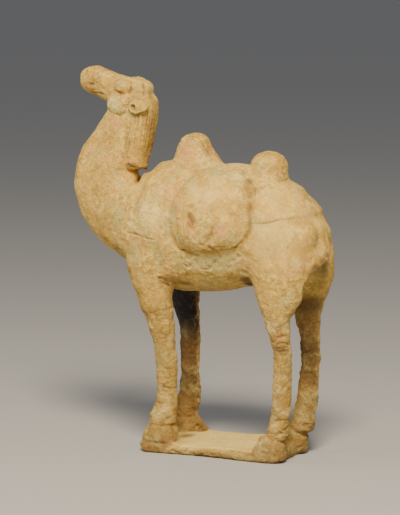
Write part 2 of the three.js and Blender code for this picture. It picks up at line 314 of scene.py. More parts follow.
def near_line(line, reach):
    """The points within reach of a line, how far to the side of it each is, how far above or below it,
    and how far along it, from 0 to 1."""
    line = np.array(line, float)
    low, high = line.min(0) - reach, line.max(0) + reach
    chosen = np.flatnonzero(((rows > low) & (rows < high)).all(1))
    unsteady = np.array([noise.noise_vector(p) for p in rows[chosen] / UNSTEADY_EVERY]).reshape(-1, 3)
    here = rows[chosen] + UNSTEADY_BY * unsteady
    best = np.full(len(chosen), 1e9)
    above = np.zeros(len(chosen))
    along = np.zeros(len(chosen))
    lengths = np.linalg.norm(np.diff(line, axis=0), axis=1)
    starts = np.concatenate([[0], np.cumsum(lengths)])
    for i, length in enumerate(lengths):
        step = (line[i + 1] - line[i]) / length
        t = np.clip((here - line[i]) @ step, 0, length)
        away = here - line[i] - t[:, None] * step
        off = np.linalg.norm(away, axis=1)
        closer = off < best
        best[closer] = off[closer]
        above[closer] = (away * facing[chosen]).sum(1)[closer]
        along[closer] = (starts[i] + t[closer]) / starts[-1]
    aside = np.sqrt(np.maximum(best**2 - above**2, 0))
    return chosen, aside, np.abs(above), along


def draw(line, width, depth, sides=(1,), dirt=0.0):
    """Draws a rounded furrow along a line, or raises a ridge where the depth is negative."""
    for side in sides:
        chosen, off, above, along = near_line(np.array(line, float) * (1, side, 1), width * 2.5 + 3)
        taper = np.clip(np.minimum(along, 1 - along) * 7 + 0.15, 0, 1) * np.clip(1.6 - above / 2.5, 0, 1)
        uneven = 0.9 if width < 1.6 else 0.2
        press = np.array([0.9 + uneven * noise.noise((x / 5, y / 5, z / 5 + 9)) for x, y, z in rows[chosen]])
        force = np.exp(-((off / width) ** 2)) * taper * np.clip(press, 0.2, 1.3)
        rows[chosen] -= facing[chosen] * (force * depth)[:, None]
        line_dirt[chosen] = np.maximum(line_dirt[chosen], force * dirt)


def dent(centre, radii, depth, sides=(1,), dirt=0.0):
    """Presses a fingertip into one place, or swells it where the depth is negative."""
    for side in sides:
        force = closeness(rows, np.array(centre) * (1, side, 1), np.array(radii))
        rows[:] -= facing * (force * depth)[:, None]
        line_dirt[:] = np.maximum(line_dirt, force * dirt)


BOTH = (1, -1)
# Face
EYE_RING = [(-118.1, -14.4, 362.4), (-118, -12.5, 366.9), (-112.2, -12.7, 370), (-105.6, -12.3, 369.6),
            (-99.4, -13.3, 366.8), (-97.2, -15.2, 360.9), (-98.1, -15.8, 356), (-103, -17.1, 353.9),
            (-108.9, -18.8, 355.9), (-114.7, -16.5, 358.6), (-118.1, -14.4, 362.4)]
draw(EYE_RING, 1.1, 1.0, BOTH, 0.5)
draw(EYE_RING[3:9], 1.1, 0.8, BOTH, 0.6)
draw([(-114.3, -18.2, 361.7), (-110.8, -19.4, 358.3), (-108.7, -18, 356.8), (-105.6, -17.5, 355.7), (-102, -16.8, 354.1)],
     1.0, 0.75, BOTH, 0.5)
draw([(-98.8, -12.2, 367.7), (-97.3, -13.9, 362.8), (-98.1, -13.6, 359.3), (-99.1, -14.9, 356.9), (-100.2, -16.3, 354.7)],
     1.0, 1.0, BOTH, 0.9)
dent((-116.2, -14.7, 364.5), (2.4, 3, 2.4), 0.7, BOTH, 0.6)
draw([(-114, -16.6, 362), (-106.5, -19.6, 361), (-101, -18, 361.4)], 0.9, 0.5, BOTH, 0.2)
draw([(-111.5, -16.8, 364.6), (-106, -18, 365.4), (-101.8, -17.4, 364)], 0.8, 0.4, BOTH, 0.15)
draw([(-124, -14, 344), (-121.7, -16.2, 339.5), (-116.7, -17.1, 335.7), (-108.3, -17.8, 333.6),
      (-103, -17.2, 336.4), (-99.6, -16.3, 338.5)], 1.5, 1.6, BOTH, 0.55)
draw([(-99.8, -16.8, 351), (-99, -16.4, 345), (-98.6, -16.2, 339)], 1.3, 0.9, BOTH, 0.4)
draw([(-154.6, -8.6, 360), (-149.6, -8.6, 357), (-142, -9.4, 355.6), (-134, -11.4, 354.6), (-129, -12.2, 353.6)],
     1.1, 1.2, BOTH, 0.7)
dent((-143.6, -12, 363.6), (5.4, 4.5, 3.2), 2.6, BOTH, 1.0)
draw([(-150, -10, 362.4), (-145, -11.6, 360.4), (-139, -12, 361), (-135, -12.4, 363.4)], 1.4, -0.9, BOTH)
draw([(-147, -11, 368), (-141, -12.6, 367.6), (-134, -12.8, 362.6), (-128, -13, 357)], 1.5, 0.7, BOTH, 0.25)
dent((-152.6, -9.4, 374.4), (3.0, 3.5, 2.6), 1.0, BOTH, 0.35)
draw([(-150.5, -10, 370), (-146, -11, 374), (-141, -10.4, 377)], 1.6, 0.9, BOTH, 0.3)
draw([(-151.4, -9, 375.2), (-149.9, -9.8, 377.2), (-148.3, -8.5, 378.7)], 1.1, 1.0, BOTH, 0.8)
draw([(-138.2, -9.1, 375.9), (-137.6, -10.6, 373.6), (-136.3, -11.5, 372), (-135.4, -12.1, 369)], 1.1, 1.0, BOTH, 0.5)
draw([(-141, -10, 374.6), (-139.6, -12.7, 370)], 1.2, -0.7, BOTH)
draw([(-135, -10.4, 373.6), (-133, -11.6, 370.4), (-127.9, -11, 370.1)], 1.3, 0.6, BOTH, 0.25)
draw([(-87.8, -6.5, 366.7), (-85.5, -9.7, 361.9), (-85.3, -10.2, 357), (-85.1, -11.6, 352.1)], 1.4, 1.8, BOTH, 0.7)
draw([(-97, -15.6, 352), (-91, -14.6, 350.4), (-85, -13.4, 349.4), (-79.5, -8, 350.4)], 1.3, 0.9, BOTH, 0.5)
dent((-92, -20.5, 342.2), (4.4, 5, 4.4), 2.8, (1,), 1.0)
dent((-99.6, 20.5, 342.2), (4.4, 5, 4.4), 2.8, (1,), 0.6)
draw([(-97.5, -16, 336.8), (-93, -17, 335), (-86.7, -17.4, 335.2), (-80.5, -17, 338.4), (-76.5, -15, 342.4)],
     1.2, 1.3, BOTH, 0.9)
draw([(-126, -13, 352.5), (-120, -16, 352.6), (-112, -18.4, 352.4)], 1.8, 0.5, BOTH, 0.1)
draw([(-135.8, -11.6, 372), (-133.4, -12.8, 367.6), (-131.4, -13, 363.6)], 1.4, 0.5, BOTH, 0.2)
draw([(-150, 0, 359), (-138, 0, 354.5), (-130, 0, 351.5)], 2.2, 0.8)

# The mane
# One thick lock on the back of the neck, cut off square at its foot and combed with a pointed stick
# into fine wavy lines.
COMB_PITCH = 2.7
MANE_MIDDLE = ([-97.5, -96.5, -94, -91, -89.5, -89], [280.5, 296, 311, 328, 342, 351])
high_enough = np.clip((rows[:, 2] - 290) / 16, 0, 1) * np.clip((347 - rows[:, 2]) / 8, 0, 1)
back_of_neck = np.interp(rows[:, 2], MANE_MIDDLE[1], MANE_MIDDLE[0])
on_mane = high_enough * np.clip((rows[:, 0] - back_of_neck + 9) / 2, 0, 1) * (np.abs(rows[:, 1]) < 20)
on_mane *= np.clip((rows[:, 0] + 104) / 2, 0, 1)
chosen = np.flatnonzero(on_mane > 0.01)
here = rows[chosen]
behind = back_of_neck[chosen] + 10 - here[:, 0]
around = here[:, 1] + np.sign(here[:, 1]) * np.clip(behind, 0, 30) * 0.9
sway = np.array([noise.noise((a * 0.12, z * 0.045, 3.1)) for a, z in zip(around, here[:, 2])])
turns = (around + 2.4 * sway) / COMB_PITCH
strand = np.round(turns)
off = (turns - strand) * COMB_PITCH
pressed = 0.66 + 0.4 * np.sin(strand * 2.3 + here[:, 2] * 0.07)
furrow = np.exp(-((off / 0.75) ** 2)) * np.clip(pressed, 0.3, 1) * on_mane[chosen]
rows[chosen] -= facing[chosen] * (furrow * 1.0)[:, None]
line_dirt[chosen] = np.maximum(line_dirt[chosen], furrow * 0.85)
draw([(-100.8, -16.8, 334), (-101.4, -16.6, 322), (-102.6, -16.4, 309), (-103, -16, 295), (-100.5, -17.5, 286)],
     2.2, 1.2, BOTH, 0.3)
draw([(-102, -17.4, 286.5), (-97, -18.6, 283), (-91, -17, 280.4)], 2.0, 2.2, BOTH, 1.0)
draw([(-91, -17, 280), (-89, 0, 279), (-91, 17, 280)], 1.8, 1.2, (1,), 0.8)
draw([(-90, -17.5, 300), (-87.5, -14, 298.6), (-86.6, -8, 297.8)], 0.8, 0.9, (1,), 0.8)
draw([(-100, -18, 283), (-104, -20, 280), (-108, -22, 279)], 1.6, 0.8, (1,), 0.6)

# The saddlebags
# Two stuffed bags slung over the back. Each was pressed in the mould as a full pillow with two
# swollen lobes at its foot, and a gathered fold at its rear edge.
BAG_FRONT = [(-14, -18, 285), (-20, -26, 279), (-27, -35, 270), (-34, -42, 257), (-36.4, -46, 247),
             (-36.6, -48.6, 233), (-35, -49, 222), (-31, -48, 213), (-25.8, -46.6, 206.5)]
BAG_FOOT = [(-27, -47, 208), (-17.4, -46, 204.6), (-6, -45, 202.8), (6, -44.6, 202.8), (16, -45, 203.6),
            (27, -46.4, 206), (36, -47, 209), (42, -47.4, 213)]
BAG_REAR = [(42, -48, 213), (46.6, -48, 219), (49, -48, 226), (50.4, -48.4, 236), (48.4, -47, 246), (46, -44, 254)]
REAR_FOLD = [(28, -14, 285), (35, -27, 279.4), (41, -28.6, 275), (45.6, -30, 270), (50, -35, 264), (51.5, -41, 256)]
draw(BAG_FRONT, 3.6, 2.0, BOTH, 0.3)
draw(BAG_FRONT[4:], 1.2, 0.3, BOTH, 0.15)
FRONT_LOBE = [(-33.1, -48, 215.3), (-29.7, -48.1, 209.5), (-24.8, -47, 205.7), (-17.6, -46.1, 203.6),
              (-9.3, -45.2, 201.9), (-2, -44.4, 201.3), (3.7, -44.8, 203.1), (9.2, -50.2, 206.4)]
REAR_LOBE = [(1.7, -58.1, 214), (7.7, -57.1, 211.3), (14, -54.6, 208.4), (21.2, -51.6, 207.5), (31.1, -52.6, 209.7),
             (38.1, -51.7, 213), (43, -50, 217.2), (47.5, -48.3, 225), (48.7, -47.6, 232.7), (47.3, -47, 242.2)]
draw(BAG_FOOT, 2.2, 0.7, BOTH, 0.1)
draw(FRONT_LOBE[:6], 1.8, 1.3, BOTH, 0.35)
draw(REAR_LOBE, 1.5, 1.5, BOTH, 0.5)
draw([(x, y, z + 2.4) for x, y, z in REAR_LOBE[4:9]], 1.3, -0.7, BOTH)
draw([(-24.7, -47.1, 206.3), (-19.2, -47.8, 205.9), (-11.6, -50.2, 206.6)], 0.8, 1.2, (1,), 1.0)
draw(BAG_REAR, 3.0, 2.8, BOTH, 0.45)
draw(BAG_REAR, 1.0, 0.4, BOTH, 0.3)
draw([(24, -10, 288), (31, -22, 282), (38.4, -31, 274), (43.9, -36, 265), (46.5, -42, 256), (48, -46, 247)],
     3.6, 2.4, BOTH, 0.35)
draw(REAR_FOLD[1:], 0.9, 1.1, BOTH, 0.6)
draw([(x + 3.4, y - 1, z + 2.4) for x, y, z in REAR_FOLD[1:]], 2.0, -1.0, BOTH)
dent((-14, -56, 226), (20, 16, 17), -2.4, BOTH)
dent((30, -55, 226), (18, 16, 19), -3.4, BOTH)
dent((-8, -54, 246), (16, 14, 12), -1.0, BOTH)
dent((22, -50, 252), (18, 14, 14), -1.2, BOTH)
draw([(16.5, -59, 233), (15, -59.4, 225), (10.4, -59, 219), (5, -58.6, 213)], 2.2, 2.8, BOTH, 0.4)
draw([(15.2, -57.3, 225.5), (13, -57.2, 221)], 0.8, 0.8, (1,), 0.7)
dent((-8.5, -58, 235), (8, 8, 11), 1.5, (1,), 0.2)
draw([(-13.6, -55.8, 241.3), (-10, -56.6, 237.6), (-7.3, -57.5, 233), (-4.8, -60.3, 227.5)], 1.8, 1.3, (1,), 0.3)
draw([(-17.4, -54.8, 247.4), (-10.1, -56.2, 248.7), (-4.4, -54.6, 251), (0, -52.7, 256.4)], 1.3, 1.3, (1,), 0.4)
draw([(-16.4, -54.4, 250.4), (-9.1, -55.4, 252), (-3.4, -53.8, 254.6)], 1.3, -0.8, (1,))
draw([(-15.1, -56, 244), (-9.6, -57, 244.6), (-3.2, -58, 241), (0.3, -58.5, 235)], 1.4, -0.8)
draw([(-20.7, -50.6, 251), (-11.1, -54.3, 249), (-3.6, -54.2, 253), (2.3, -52.8, 258)], 2.0, 0.8, BOTH, 0.1)
draw([(-22, -52, 222), (-17, -54, 229), (-15, -55, 237)], 2.2, 0.7, BOTH, 0.1)
draw([(-2, -57.4, 214), (7, -57, 212.6), (16.8, -56, 211.6), (30, -55.6, 212.6)], 1.6, 1.0, BOTH, 0.3)
draw([(34, -54, 246), (36, -54, 236), (35, -55, 227)], 2.4, 0.5, BOTH)
draw([(4, -55, 262), (12, -56, 250), (14, -57, 240)], 4, -0.6, BOTH)
SCALES = [(-18, 198, 5), (-9, 195, 6), (0, 198, 5), (9, 195, 6), (18, 200, 5), (28, 197, 6), (37, 202, 5), (4, 190, 5)]
for x, z, wide in SCALES:
    dent((x, -44, z), (wide * 1.5, 9, wide * 1.2), -0.5, (1,))
    dent((x, -44, z), (wide, 9, wide * 0.8), 1.6, (1,), 0.2)
    dent((x + 3, 44, z + 2), (wide, 9, wide * 0.8), 0.5)
SCALE_RIMS = [
    [(-9.9, -46, 199.5), (-9.6, -42.5, 192.3), (-5.3, -40.2, 187.4), (1.1, -39.9, 186.7), (6.9, -40.4, 190),
     (11.9, -43.9, 197.5), (13.4, -44.7, 201.6)],
    [(-25.2, -46.2, 199.8), (-24.5, -43.3, 190.6), (-19, -41.2, 187.8), (-12.2, -43.8, 194.3)],
    [(35.5, -48, 206), (37.7, -45.7, 202.9), (35.1, -44.9, 198.8), (28.9, -43.3, 198.3), (29.1, -45.8, 202.5)],
    [(-8.7, -37.8, 182.1), (-2.9, -36.3, 180.2), (4.7, -36, 181.6)],
]
for rim in SCALE_RIMS:
    draw(rim, 1.3, 0.8, (1,), 0.25)
    draw([(x, y, z - 2.4) for x, y, z in rim], 1.8, -0.35, (1,))

# The blanket
# A plain cloth over the croup, moulded as a thin coat with a crisp hem, and drawn up to the round
# rear hump, whose neck it rings.
hem_over = rows[:, 2] - (236 + 0.15 * (rows[:, 0] - 52)) + 0.8 * np.sin(rows[:, 0] * 0.21) * np.cos(rows[:, 1] * 0.13)
behind_bag = np.clip((rows[:, 0] - 50) / 3, 0, 1) * (rows[:, 2] > 225)
behind_bag *= 1 - 0.75 * np.clip((rows[:, 0] - 82) / 12, 0, 1)  # it is worn away over the tail
under_hem = np.exp(-(((hem_over + 1.3) / 1.0) ** 2)) * behind_bag
lip_of_hem = np.exp(-(((hem_over - 1.2) / 1.5) ** 2)) * behind_bag
wander = np.array([0.55 + 0.9 * noise.noise((x * 0.08, y * 0.08, 7.7)) for x, y, _ in rows[behind_bag > 0]])
rows[behind_bag > 0] -= facing[behind_bag > 0] * ((under_hem * 0.9 - lip_of_hem * 0.3)[behind_bag > 0] * wander)[:, None]
hem_soil = np.array([0.5 + 1.6 * noise.noise((x * 0.06, y * 0.06, 2.2)) for x, y, _ in rows[behind_bag > 0]])
line_dirt[behind_bag > 0] = np.maximum(line_dirt[behind_bag > 0], under_hem[behind_bag > 0] * np.clip(hem_soil, 0.1, 0.9))
collar = [(48 + 20.5 * math.cos(a), 24 * math.sin(a), 273.4 + 2.4 * max(math.cos(a), 0)) for a in np.linspace(0, math.tau, 25)]
draw(collar[:18], 1.8, 0.5, (1,), 0.1)
draw(collar[17:] + collar[1:2], 1.4, 0.7, (1,), 0.25)
draw([(52, -42, 262), (53.4, -46, 252), (53.6, -48, 242), (53, -48.6, 236)], 2.2, 0.6, BOTH, 0.1)
draw([(-22, -7, 311), (-17, -7, 303), (-12, -8, 296), (-9, -9, 291)], 2.6, 0.8, (1,), 0.25)

# The neck and shoulders
# Soft seams run where the neck was let into the body, and a fine crack crosses the near shoulder.
draw([(-89.4, -18, 265.7), (-90, -29, 258.6), (-91.6, -36.4, 249.2), (-94.1, -40.2, 237.5), (-97.1, -41, 225.5),
      (-102, -38.6, 211)], 3.2, 1.3, BOTH, 0.2)
draw([(-99, -30, 256), (-101, -36, 246), (-104, -38.6, 234), (-108, -37, 222)], 3.0, 0.9, BOTH, 0.15)
draw([(-92, -11, 268), (-84, -16, 264.5), (-66, -36, 261.5), (-50, -43.5, 256.4), (-39.5, -46.2, 248.2)],
     3.0, 1.2, BOTH, 0.15)
SHOULDER_CRACK = [(-90, -40.6, 221.6), (-87.7, -41.8, 220), (-82.8, -42.5, 219.3), (-76.5, -45.8, 219.6), (-71.3, -47.2, 217.3),
                  (-64.7, -49, 216.5), (-58.8, -49.7, 215), (-51.7, -50.4, 214.8), (-48.4, -50.5, 212.4)]
draw(SHOULDER_CRACK, 0.85, 1.2, (1,), 0.85)
draw([(x, y, z - 2) for x, y, z in SHOULDER_CRACK], 1.2, -0.5, (1,))
draw([(-50.5, -50.6, 213.7), (-49.8, -49.9, 207.7), (-49.5, -47.4, 200.6), (-48.7, -45.7, 192.6), (-48.5, -44.1, 186.5)],
     2.4, 1.0, BOTH, 0.15)
draw([(-52, -46.4, 179), (-50.8, -45.9, 177.2), (-47, -42.8, 176), (-43.7, -38.4, 173)], 0.9, 1.3, (1,), 1.0)
draw([(-47.9, -43.2, 171.8), (-44.6, -38.9, 170), (-42.8, -33.9, 168)], 0.9, 1.1, (1,), 0.9)
draw([(-43, -34, 170), (-36, -30, 168), (-26, -27, 166.6), (-14, -24, 165.4)], 1.6, 1.0, (1,), 0.7)
draw([(29, -26, 176), (36, -28, 177), (40, -32, 180), (44, -34, 183)], 2.0, 1.2, BOTH, 0.7)
draw([(36, -19, 172), (43, -30, 172.5), (50.7, -40, 171.6)], 1.6, 1.2, BOTH, 0.8)
draw([(-138.3, -28.1, 276), (-134.8, -28.2, 276.8), (-131.5, -27.9, 279.4)], 1.2, 0.8, (1,), 0.4)
dent((88.3, -42.5, 212.9), (2.2, 4, 1.8), 0.9, (1,), 1.0)
dent((-112, -37, 240), (16, 14, 12), 0.9, BOTH)
dent((-58, -48, 232), (20, 14, 18), -1.0, BOTH)

# The tail's and rump's hollows, and the folds of the legs
draw([(100.6, -8, 238), (102.8, -9.4, 231.7), (105.2, -10.4, 225), (106.4, -11, 218.4), (106.4, -12.4, 212),
      (105.2, -16.4, 206.4)], 5.2, 2.5, (1,), 0.1)
draw([(112.6, 0.6, 207), (112.7, -3.5, 203), (110.7, -10.7, 198.8), (108.3, -18.1, 195), (105.3, -24.2, 191.4),
      (103.4, -27.6, 185.8)], 2.4, 0.5, (1,), 0.9)
draw([(99, 10, 242), (103.6, 12, 232), (105, 13, 218), (104.8, 10, 204)], 1.8, 0.6, (1,), 0.1)
draw([(105, 9, 201), (104.8, 2, 197), (103.4, -6, 192.6), (101, -14, 187.4), (98, -21, 181.6), (95.4, -27, 173.6),
      (92.4, -31, 164.6), (88, -34, 154)], 2.4, 2.8, (1,), 0.8)
FOOT_LINES = [
    [(-66, -37, 28.6), (-58.3, -39.4, 29), (-52, -38, 28.6), (-44.9, -33, 29), (-42, -26, 29)],
    [(-78, -26, 11.8), (-74, -35, 12), (-66.3, -39.4, 11.7), (-58.1, -39.6, 10.9), (-50.5, -39.2, 10.8),
     (-43.3, -36, 10.4)],
]
for line in FOOT_LINES:
    draw(line, 1.3, 0.9, (1,), 0.5)
    draw(line, 1.8, 0.4, (-1,), 0.15)
    draw([(x, -52 - y, z) for x, y, z in line], 1.5, 0.6, BOTH, 0.25)
for x, z in ((69, 30.2), (69, 43.5)):
    ring = [(x + 14.5 * math.cos(a), -26 - 13 * math.sin(a), z) for a in np.linspace(-0.3, 3.4, 9)]
    draw(ring, 1.1, 0.9, BOTH, 0.7)
for x, y, z in ((-79, -26.5, 14), (-80, 26.5, 14), (45, -26.5, 12), (45, 26.5, 12)):
    draw([(x + 3, y, z + 9), (x, y, z), (x + 1, y, z - 6)], 1.6, 1.5, (1,), 0.6)
draw([(-52, -38, 66.4), (-47.9, -37.1, 67.4), (-43, -32, 65.6), (-40, -26, 65)], 0.9, 0.9, (1,), 0.7)
draw([(76, -30, 31), (80, -33, 26), (82, -36, 22), (78, -36.6, 18)], 1.4, 1.5, (1,), 0.9)
dent((-42.3, 24.4, 19.8), (2.2, 6, 2.4), 2.4, (1,), 1.0)
draw([(-52, 15.6, 13.2), (-45, 18.6, 12.6), (-38, 26, 13), (-34, 32, 13.4)], 1.2, 1.2, (1,), 1.0)
draw([(77.6, 17, 32.6), (81.7, 19.8, 31.2), (84.4, 25, 31)], 1.2, 1.3, (1,), 1.0)

for line, depth in (
    ([(68, -41, 121), (75, -41, 118.6), (79, -40.6, 120.4), (82.3, -37.9, 120.1), (84.5, -31, 117.4)], 1.1),
    ([(72.2, -40.4, 116.4), (76.5, -40.8, 114.8), (81, -39.8, 116), (85.2, -32.7, 114.6)], 0.8),
    ([(73.8, -40.1, 112.6), (78, -40, 110.8), (84.8, -34, 112.9)], 0.8),
    ([(74.4, -39.6, 108.4), (79.6, -39, 107.4), (84.6, -33, 108.6)], 0.5),
    ([(69.5, -42.4, 129.4), (75.9, -42.5, 130), (80, -41.4, 128.4), (84, -37, 127.8)], 0.7),
    ([(74.8, -42.9, 126.8), (79.5, -41, 125.6), (85.9, -35.5, 127.3)], 0.45),
    ([(69, -43.6, 132.6), (76.2, -42.8, 132.6)], 0.4),
    ([(77, 23.6, 103.4), (82.5, 22.1, 101.2), (86, 25, 102.6), (88.7, 29.8, 100.6)], 0.9),
    ([(74.5, 22.9, 109.6), (78, 22.6, 106.4), (82.6, 21.5, 107.8), (83.4, 22, 111.6), (79.6, 22, 112.6)], 0.8),
    ([(-58, -34, 64), (-56.2, -36.4, 65.5), (-50, -36.6, 63.6), (-45.3, -35.8, 62.4)], 0.4),
    ([(70.6, -49.5, 178), (77.7, -48.9, 177.3), (84.7, -48, 178.6)], 0.45),
    ([(66, -49.6, 172.8), (72.6, -49.5, 172.2), (80.7, -48.7, 171.2)], 0.45),
    ([(74.5, -49.3, 166.3), (80.6, -48.3, 165.8), (87, -46, 167)], 0.45),
    ([(-56, -47.5, 141), (-49, -46, 139), (-43, -38, 140)], 0.5),
    ([(-54, -42, 118), (-48, -41, 116.4), (-42, -34, 118)], 0.4),
):
    draw(line, 0.9, depth, (1,), 0.5 + 0.3 * depth)

# The skin's unevenness
# Nothing on a hand-finished pot is even: the palm leaves broad waves, the fingers leave shorter ones,
# the legs keep the smears of the hand that rolled them, and the thin slip has scaled off in places.
WAVES = [  # length, height, how much more where it is coarse, seed
    (38, 0.9, 0, 1.3),
    (16, 0.55, 0.25, 5.1),
    (8, 0.26, 0.42, 9.7),
    (4, 0.14, 0.36, 2.2),
    (2.6, 0.03, 0.12, 6.4),
]
COARSE = [  # where the skin is coarser
    ((-126, -24, 262), (24, 26, 46), 0.7), ((-100, -36, 222), (26, 16, 34), 1.0), ((-62, -44, 178), (30, 18, 26), 1.0),
    ((10, -36, 182), (60, 26, 20), 1.0), ((6, -54, 216), (40, 10, 16), 0.7), ((74, -40, 176), (30, 16, 20), 0.8),
    ((-50, -38, 208), (24, 12, 16), 0.6), ((98, -10, 180), (14, 40, 20), 0.7), ((-118, -20, 310), (12, 20, 30), 0.4),
    ((-144, -6, 368), (18, 16, 14), 0.6), ((-108, -14, 352), (22, 12, 22), 0.5), ((-18, 0, 302), (18, 20, 14), 0.4),
    ((48, 0, 294), (20, 24, 14), 0.4),
]
EVEN = [((76, -44, 216), (26, 16, 28)), ((8, -48, 258), (26, 14, 20)), ((74, -30, 254), (22, 24, 16)),
        ((94, -18, 236), (14, 24, 14)), ((98, -30, 222), (12, 16, 20))]  # where it is smooth
put_back(camel, rows)
facing = outward(camel)
even = np.where((rows[:, 2] < 16) & (facing[:, 2] > 0.8), 1.0, 0.0)
for centre, radii in EVEN:
    for side in BOTH:
        even = np.maximum(even, closeness(rows, np.array(centre) * (1, side, 1), np.array(radii) * 1.5))
even = np.clip(even * 1.6, 0, 1)
coarse = np.clip((168 - rows[:, 2]) / 24, 0, 1)
for centre, radii, strength in COARSE:
    for side in BOTH:
        coarse = np.maximum(coarse, strength * closeness(rows, np.array(centre) * (1, side, 1), np.array(radii) * 1.5))
lift = np.zeros(len(rows))
for length, height, more, seed in WAVES:
    wave = np.array([noise.noise((x / length, y / length, z / length + seed)) for x, y, z in rows])
    lift += (height + more * coarse) * wave
scaled = np.array([noise.noise((x / 12 + 4, y / 12, z / 9)) + 0.5 * noise.noise((x / 5, y / 5 + 8, z / 4)) for x, y, z in rows])
scale_edge = np.clip((scaled + 0.03) / 0.08, 0, 1)
lift += (0.2 + 0.26 * coarse) * scale_edge * scale_edge * (3 - 2 * scale_edge)
lift *= 1 - 0.45 * even
on_leg = np.clip((172 - rows[:, 2]) / 30, 0, 1) * np.clip((rows[:, 2] - 14) / 10, 0, 1)
lift -= on_leg * np.where(rows[:, 0] * rows[:, 1] < 0, 0.6, 0)  # the far front leg and the near hind one are thinner
legs = np.flatnonzero(on_leg > 0)
smear = np.array([
    noise.noise((x / 11 + 11, y / 11, z / 7 + 0.8 * noise.noise((x / 13, y / 13, z / 17))))
    + 0.6 * noise.noise((x / 6, y / 6 + 21, z / 4.4))
    for x, y, z in rows[legs]
])
lift[legs] += on_leg[legs] * 0.75 * smear
crusty = closeness(rows, (72, -28, 112), (22, 22, 34)) + closeness(rows, (76, 26, 110), (22, 22, 40))
crusty += closeness(rows, (-42, 26, 56), (10, 18, 46))
crust = np.flatnonzero(crusty > 0)
crumbs = np.array([noise.noise((x / 3.4, y / 3.4, z / 2.2 + 50)) for x, y, z in rows[crust]])
lift[crust] += crusty[crust] * 0.9 * crumbs
lift[(rows[:, 2] < 16) & (facing[:, 2] > 0.8)] *= 0.35  # the slab's top was smoothed flat
low_edge = np.clip((9 - rows[:, 2]) / 6, 0, 1) * np.clip((rows[:, 2] - 0.8) / 1.5, 0, 1)
low = np.flatnonzero(low_edge > 0)
crumble = np.array([noise.noise((x / 5, y / 5, z / 3 + 31)) for x, y, z in rows[low]])
lift[low] -= low_edge[low] * np.where(rows[low, 0] > -30, 0.6, 1.3) * np.clip(crumble * 1.5, 0, 1)
footing = np.clip((rows[:, 2] - 0.4) / 1.5, 0, 1)  # the underside stays flat
rows += facing * (lift * footing)[:, None]
rows[:, 2] = np.maximum(rows[:, 2], 0)
put_back(camel, rows)

# Before the skin is thinned to what shows, the places where soil gathers and where the slip rubs
# off are marked on it: its hollows and ridges, and the drawn lines
MOST_FACES = 194000
facing = outward(camel)
count = len(rows)
edges = np.empty(len(camel.data.edges) * 2, int)
camel.data.edges.foreach_get("vertices", edges)
starts, ends = edges.reshape(-1, 2).T
neighbours = np.bincount(starts, minlength=count) + np.bincount(ends, minlength=count)


def spread(values, times):
    """Averages values over neighbouring points, the given number of times."""
    for _ in range(times):
        total = np.bincount(starts, values[ends], count) + np.bincount(ends, values[starts], count)
        values = 0.5 * values + 0.5 * total / np.maximum(neighbours, 1)
    return values


step = rows[ends] - rows[starts]
span = (step**2).sum(1)
rise_ahead = (step * facing[starts]).sum(1) / span
rise_behind = -(step * facing[ends]).sum(1) / span
bend = np.bincount(starts, rise_ahead, count) + np.bincount(ends, rise_behind, count)
bend = spread(bend / np.maximum(neighbours, 1), 6)
broad_bend = spread(bend, 60)
MARKS = {
    "lines": line_dirt,
    "hollow": np.clip(bend * 5, 0, 1) * 0.6 + np.clip(broad_bend * 12, 0, 1) * 0.6,
    "ridge": np.clip(-bend * 4 - 0.2, 0, 1),
    "coarse": coarse,
    "even": even,
}
for name, amount in MARKS.items():
    mark = camel.vertex_groups.new(name=name)
    for level in range(1, 17):
        chosen = np.flatnonzero((amount > (level - 1) / 16) & (amount <= level / 16))
        mark.add(chosen.tolist(), level / 16, "REPLACE")
    mark.add(np.flatnonzero(amount > 1).tolist(), 1.0, "REPLACE")
work(camel, "DECIMATE", ratio=MOST_FACES / (2 * len(camel.data.polygons)))

# What the years did to it
# Soil and rust-brown stains sit in the hollows and on the legs, paler slip is left on the flanks and
# the slab, and a little pink and grey-green tinge the flanks. Shade is painted in too: on faces that
# turn downwards, on the inner sides of the far legs, under the mane's foot and in a few corners and
# grooves, and a little light is painted on two shaded spots.
skin = camel.data
count = len(skin.vertices)
rows = places(camel)
facing = outward(camel)
kept = {name: np.zeros(count) for name in MARKS}
names = [group.name for group in camel.vertex_groups]
for vertex in skin.vertices:
    for member in vertex.groups:
        kept[names[member.group]][vertex.index] = member.weight
camel.vertex_groups.clear()

